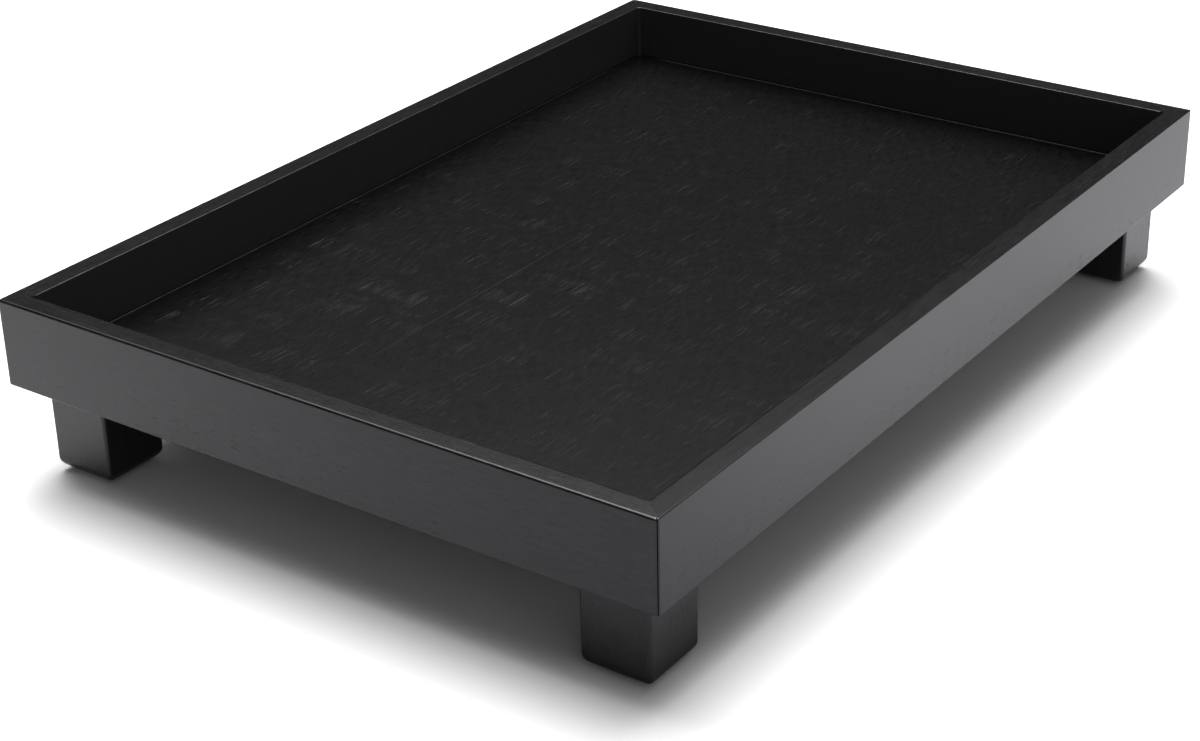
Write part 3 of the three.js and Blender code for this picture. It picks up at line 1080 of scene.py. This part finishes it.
@dataclass
class CornerFoot:
    """A square foot with its screw, driven up from a counterbore, and the felt pad over it."""

    outline: Outline
    side: float = 29.0
    rail_gap: float = 0.2
    bottom: float = 1.2
    top: float = 40.4
    bottom_radius: float = 4.5
    bottom_steps: int = 10
    edge_radius: float = 1.5
    edge_steps: int = 8
    top_ease: float = 0.4
    bore_radius: float = 4.3
    shank_bore_radius: float = 2.3
    screw_seat: float = 26.4
    seat_gap: float = 0.3
    screw_tip: float = 46.6
    point_length: float = 3.0
    head_radius: float = 4.0
    head_height: float = 2.8
    head_ease: float = 1.2
    head_steps: int = 5
    recess_radii: Point2 = (1.1, 1.4)
    recess_depths: Point2 = (1.1, 1.3)
    core_radius: float = 1.5
    thread_radius: float = 2.0
    thread_lift: float = 0.05
    thread_pitch: float = 1.6
    thread_rise: float = 1.0
    thread_stop: float = 3.5
    pad_radius: float = 9.0
    pad_thickness: float = 1.0
    pad_ease: float = 0.3
    pad_steps: int = 4
    round_sides: int = 32
    sharp_angle: float = 40.0
    pad_sharp_angle: float = 50.0

    def centre(self, corner: Corner) -> Point2:
        """Middle of the foot at a corner.

        Args:
            corner: The corner.

        Returns:
            Its X and Y, in millimetres.
        """
        inset = self.outline.rail_thickness + self.rail_gap + self.side / 2
        sx, sy = corner.value
        return sx * (self.outline.length / 2 - inset), sy * (self.outline.width / 2 - inset)

    def foot_outline(self) -> tuple[list[Point2], int]:
        """The foot cut down its middle: the outside first, then the bore.

        Returns:
            Points of x, an inset outside and a radius in the bore, and y, the height, in
            millimetres, and how many of them are outside.
        """
        r = self.bottom_radius
        low, high = self.bottom, self.top
        angles = [QUARTER * i / self.bottom_steps for i in range(self.bottom_steps + 1)]
        outside = [(r * (1 - math.sin(a)), low + r * (1 - math.cos(a))) for a in angles]
        outside += [(0.0, high - self.top_ease), (self.top_ease, high)]
        bore = [
            (self.shank_bore_radius, high),
            (self.shank_bore_radius, self.screw_seat),
            (self.bore_radius, self.screw_seat),
            (self.bore_radius, low),
        ]
        return outside + bore, len(outside)

    @staticmethod
    def foot_tree() -> ShapeTree:
        """Tree that runs a foot's outline round a square with eased upright edges.

        Returns:
            The tree.
        """
        shape = ShapeTree("Square foot", ("Side", "Edge radius"), ("Edge steps", "Outside points"))
        build, given = shape.build, shape.inputs
        index = shape.step("InputIndex")
        bored = build.math("GREATER_THAN", index, build.math("SUBTRACT", given["Outside points"], 0.5))
        section = shape.section(shape.keep(given["Geometry"], "bored", bored), "inset")
        sides = {"Width": given["Side"], "Height": given["Side"]}
        square = shape.step("CurvePrimitiveQuadrilateral", sides)
        corners = {"Curve": square, "Radius": given["Edge radius"], "Count": given["Edge steps"]}
        eased = shape.step("FilletCurve", corners, mode="POLY")
        path = shape.keep(eased, "edge", shape.step("InputPosition"), "FLOAT_VECTOR")
        count = shape.step("AttributeDomainSize", {"Geometry": eased}, component="CURVE")
        share = build.math("DIVIDE", 4 * QUARTER, count)
        turn = build.math("MULTIPLY", build.math("ADD", index, 0.5), share)
        around = build.combine(build.math("COSINE", turn), build.math("SINE", turn), 0.0)
        path = shape.keep(path, "around", around, "FLOAT_VECTOR")
        swept = shape.sweep(path, section, False)
        edge, inset = shape.read("edge", "FLOAT_VECTOR"), shape.read("inset")
        level = build.combine(inset, inset, 0.0)
        pulled_in = build.vector("MULTIPLY", build.vector("SIGN", edge), level)
        outside = build.vector("SUBTRACT", edge, pulled_in)
        round_bore = build.vector("MULTIPLY", shape.read("around", "FLOAT_VECTOR"), level)
        mixed = build.mix("VECTOR", shape.read("bored"), outside, round_bore)
        position = build.vector("ADD", mixed, build.combine(0.0, 0.0, shape.read("height")))
        foot = shape.move_to(swept, position)
        foot = shape.drop(foot, ("bored", "inset", "height", "edge", "around"))
        shape.close(shape.set_down(foot, given["Place"]))
        return shape

    @staticmethod
    def turned_tree() -> ShapeTree:
        """Tree that turns an outline about Z and may run a thread round it.

        Returns:
            The tree.
        """
        thread = {part: f"Thread {part}" for part in ("radius", "size", "turns", "start", "height")}
        shape = ShapeTree("Turned piece", tuple(thread.values()), ("Sides",))
        build, given = shape.build, shape.inputs
        section = shape.section(given["Geometry"], "turned_out")
        ring = shape.step("CurvePrimitiveCircle", {"Resolution": given["Sides"], "Radius": 1.0})
        path = shape.keep(ring, "edge", shape.step("InputPosition"), "FLOAT_VECTOR")
        swept = shape.sweep(path, section, False)
        radius, edge = shape.read("turned_out"), shape.read("edge", "FLOAT_VECTOR")
        level = build.vector("MULTIPLY", edge, build.combine(radius, radius, 0.0))
        position = build.vector("ADD", level, build.combine(0.0, 0.0, shape.read("height")))
        turned = shape.drop(shape.move_to(swept, position), ("turned_out", "height", "edge"))
        course = {
            "Resolution": THREAD_STEPS,
            "Rotations": given[thread["turns"]],
            "Start Radius": given[thread["radius"]],
            "End Radius": given[thread["radius"]],
            "Height": given[thread["height"]],
        }
        spiral = shape.step("CurveSpiral", course)
        profile = {"Resolution": THREAD_SIDES, "Radius": given[thread["size"]]}
        ridge = shape.step("CurvePrimitiveCircle", profile)
        raised = build.combine(0.0, 0.0, given[thread["start"]])
        joined = build.add("GeometryNodeJoinGeometry")
        build.feed(joined.inputs[0], turned)
        build.feed(joined.inputs[0], shape.set_down(shape.sweep(spiral, ridge, True), raised))
        shape.close(shape.set_down(joined.outputs[0], given["Place"]))
        return shape

    def screw_outline(self) -> list[Point2]:
        """The screw's outline from the head's middle, with its recess, up to the tip.

        Returns:
            Radii and heights, in millimetres.
        """
        seat = self.screw_seat - self.seat_gap
        base = seat - self.head_height
        ease = self.head_ease
        dome = arc((self.head_radius - ease, base + ease), ease, -QUARTER, 0.0, self.head_steps)
        floor_radius, mouth_radius = self.recess_radii
        side_depth, full_depth = self.recess_depths
        recess = [(AXIS_RADIUS, base + full_depth), (floor_radius, base + side_depth), (mouth_radius, base)]
        shank = [(self.head_radius, seat), (self.core_radius, seat)]
        tip = [(self.core_radius, self.screw_tip - self.point_length), (AXIS_RADIUS, self.screw_tip)]
        return recess + dome + shank + tip

    def pad_outline(self) -> list[Point2]:
        """The felt pad's outline, its rim slightly rounded.

        Returns:
            Radii and heights, in millimetres.
        """
        r = self.pad_ease
        low = arc((self.pad_radius - r, r), r, -QUARTER, 0.0, self.pad_steps)
        high = arc((self.pad_radius - r, self.pad_thickness - r), r, 0.0, QUARTER, self.pad_steps)
        return [(AXIS_RADIUS, 0.0)] + low + high + [(AXIS_RADIUS, self.pad_thickness)]

    def screw_values(self) -> dict[str, object]:
        """What the tree for turned pieces takes to make a screw.

        Returns:
            Values of its inputs, by name.
        """
        threaded = self.screw_tip - self.thread_stop - self.screw_seat - self.thread_rise
        lengths = {
            "Thread radius": self.core_radius + self.thread_lift,
            "Thread size": self.thread_radius - self.core_radius - self.thread_lift,
            "Thread start": self.screw_seat + self.thread_rise,
            "Thread height": threaded,
        }
        return in_metres(lengths) | {"Sides": self.round_sides, "Thread turns": threaded / self.thread_pitch}

    def build_feet(self, groups: TimberGroups) -> None:
        """Makes each foot with its screw and pad, in place of their CAD nodes.

        Args:
            groups: The shared timber patterns.
        """
        foot_tree, turned_tree = self.foot_tree(), self.turned_tree()
        timber = StainedTimber("foot timber", Grain.ALONG_Z).make(groups)
        steel = ZincSteel("zinc steel").make()
        felt = Felt("black felt").make()
        foot, outside = self.foot_outline()
        foot_values = in_metres({"Side": self.side, "Edge radius": self.edge_radius})
        foot_values |= {"Edge steps": self.edge_steps, "Outside points": outside, "Material": timber}
        screw_values = self.screw_values() | {"Material": steel}
        no_thread = {"Thread radius": 0.0, "Thread size": 0.0, "Thread turns": 0.0}
        pad_values = no_thread | {"Sides": 2 * self.round_sides, "Material": felt}
        crisp, pad_crisp = self.sharp_angle, self.pad_sharp_angle
        pieces = (
            ("foot", "timber", "foot_timber", foot_tree, foot, foot_values, crisp),
            ("foot_screw", "steel", "screw_steel", turned_tree, self.screw_outline(), screw_values, crisp),
            ("foot_pad", "felt", "pad_felt", turned_tree, self.pad_outline(), pad_values, pad_crisp),
        )
        for corner in Corner:
            x, y = self.centre(corner)
            place = {"Place": (x * MM, y * MM, 0.0)}
            for prefix, stuff, slot, tree, outline, values, angle in pieces:
                node = f"{prefix}_{corner.label}"
                name = f"{node}_{stuff}"
                fit_piece(name, trued(tree.run(name, outline, values | place), angle), node)


@dataclass
class Studio:
    """A white floor, a broad soft light overhead in a dark room, and the camera.

    The floor has a colour of its own, one as the camera sees it, and one as the lacquer mirrors
    it, which falls off towards the camera as painted shade. Angles are in degrees.
    """

    floor_side: float = 14.0
    floor_colour: Colour4 = (0.9, 0.9, 0.9, 1.0)
    floor_shown: Colour4 = (1.45, 1.45, 1.45, 1.0)
    floor_mirrored: Colour4 = (0.97, 0.97, 1.0, 1.0)
    # painted shade: the floor as mirrored darkens towards the camera, in place of a lamp's falloff
    floor_near_painted_shade: Colour4 = (0.52, 0.52, 0.55, 1.0)
    near_start: float = 60.0
    near_end: float = 300.0
    light_level: float = 6.4
    light_towards: Point3 = (0.315, 0.223, 1.0)
    light_edge: float = 31.9
    light_core: float = 9.9
    glow_level: float = 0.92
    glow_edge: float = 41.0
    room_level: float = 0.025
    fill_level: float = 0.28
    fill_towards: Point3 = (-0.42, -0.91, 0.0)
    band_height: float = 2.0
    band_start: float = 0.3
    sensor: float = 36.0
    lens: float = 71.227
    eye: Point3 = (-740.63, -509.61, 452.56)
    azimuth: float = -54.822
    elevation: float = 25.506
    roll: float = -1.150
    shift: Point2 = (-0.01667, -0.05042)

    @staticmethod
    def facing(build: TreeBuilder, way: Socket, towards: Point3) -> Socket:
        """How far a vector in a tree points another way: their dot product, the other normalised."""
        return build.dot(way, tuple(Vector(towards).normalized()))

    @staticmethod
    def rays(build: TreeBuilder) -> tuple[Socket, Socket]:
        """The kinds of ray that see the studio in their own way.

        Args:
            build: The material's or the world's tree.

        Returns:
            Whether a ray is the camera's, and whether it was mirrored or let through.
        """
        path = build.add("ShaderNodeLightPath").outputs
        mirrored = build.math("MAXIMUM", path["Is Glossy Ray"], path["Is Transmission Ray"])
        return path["Is Camera Ray"], mirrored

    def build_floor(self) -> None:
        """Makes the floor, which is seen through from below."""
        half = self.floor_side / 2
        mesh = bpy.data.meshes.new("floor")
        corners = [(-half, -half, 0.0), (half, -half, 0.0), (half, half, 0.0), (-half, half, 0.0)]
        mesh.from_pydata(corners, [], [(0, 1, 2, 3)])
        floor = bpy.data.objects.new("floor", mesh)
        bpy.context.scene.collection.objects.link(floor)
        material = bpy.data.materials.new("white floor")
        material.use_nodes = True
        nodes = material.node_tree.nodes
        nodes.remove(nodes["Principled BSDF"])
        build = TreeBuilder(material.node_tree)
        seen, mirrored = self.rays(build)
        spot = build.add("ShaderNodeTexCoord").outputs["Object"]
        # painted shade: the mirrored floor is darker nearer the camera
        nearer = self.facing(build, spot, (self.eye[0], self.eye[1], 0.0))
        near = build.blend(nearer, self.near_start * MM, self.near_end * MM, 0.0, 1.0)
        falloff = build.tint(near, self.floor_mirrored, self.floor_near_painted_shade)
        colour = build.tint(mirrored, self.floor_colour, falloff)
        colour = build.tint(seen, colour, self.floor_shown)
        behind = build.add("ShaderNodeNewGeometry").outputs["Backfacing"]
        mixed = build.add("ShaderNodeMixShader")
        build.feed(mixed.inputs[0], build.math("MULTIPLY", behind, seen))
        build.feed(mixed.inputs[1], build.add("ShaderNodeBsdfDiffuse", {"Color": colour}).outputs[0])
        build.feed(mixed.inputs[2], build.add("ShaderNodeBsdfTransparent").outputs[0])
        build.feed(nodes["Material Output"].inputs["Surface"], mixed.outputs[0])
        mesh.materials.append(material)
        log.info("floor: white, %.0f m square", self.floor_side)

    def build_light(self) -> None:
        """Makes the world: bright overhead, dark above the horizon, white behind the floor."""
        world = bpy.data.worlds.new("studio")
        bpy.context.scene.world = world
        world.use_nodes = True
        build = TreeBuilder(world.node_tree)
        background = world.node_tree.nodes["Background"]
        way = build.add("ShaderNodeTexCoord").outputs["Generated"]
        angles = (self.light_edge, self.light_core, self.glow_edge)
        edge, core, glow_edge = (math.cos(math.radians(angle)) for angle in angles)
        bright_room = self.room_level + self.fill_level
        towards_fill = self.facing(build, way, self.fill_towards)
        room = build.blend(towards_fill, 0.0, 1.0, self.room_level, bright_room)
        towards_light = self.facing(build, way, self.light_towards)
        glow = build.blend(towards_light, glow_edge, edge, room, self.glow_level)
        overhead = build.blend(towards_light, edge, core, glow, self.light_level)
        band = math.sin(math.radians(self.band_height))
        low = build.blend(build.split(way)["Z"], self.band_start * band, band, 1.0, 0.0)
        seen, mirrored = self.rays(build)
        white = build.math("MAXIMUM", seen, build.math("MULTIPLY", mirrored, low))
        build.feed(background.inputs["Strength"], build.blend(white, 0.0, 1.0, overhead, 1.0))
        background.inputs["Color"].default_value = (1.0, 1.0, 1.0, 1.0)
        log.info("light: soft overhead light in a dark room")

    def build_camera(self) -> None:
        """Makes the camera at the photograph's viewing angle."""
        a, e, r = (math.radians(v) for v in (self.azimuth, self.elevation, self.roll))
        back = Vector((math.sin(a) * math.cos(e), -math.cos(a) * math.cos(e), math.sin(e)))
        level = Vector((math.cos(a), math.sin(a), 0.0))
        rise = back.cross(level)
        right = level * math.cos(r) + rise * math.sin(r)
        up = back.cross(right)
        data = bpy.data.cameras.new("camera")
        data.sensor_width = self.sensor
        data.lens = self.lens
        data.shift_x, data.shift_y = self.shift
        camera = bpy.data.objects.new("camera", data)
        bpy.context.scene.collection.objects.link(camera)
        turn = Matrix((right, up, back)).transposed()
        camera.matrix_world = Matrix.Translation(Vector(self.eye) * MM) @ turn.to_4x4()
        bpy.context.scene.camera = camera
        bpy.context.scene.view_settings.view_transform = "Standard"
        log.info("camera: %.1f mm lens", self.lens)


def main() -> None:
    """Builds the studio and dresses the tray."""
    logging.basicConfig(level=logging.INFO, format="%(message)s")
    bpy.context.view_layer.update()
    studio = Studio()
    studio.build_camera()
    studio.build_floor()
    studio.build_light()
    groups = TimberGroups()
    outline = Outline()
    rails = RailFrame(outline, groups)
    rails.build_rails()
    rails.dress_splines()
    BasePanel(outline, groups).build_panel()
    CornerFoot(outline).build_feet(groups)


if __name__ == "__main__":
    main()
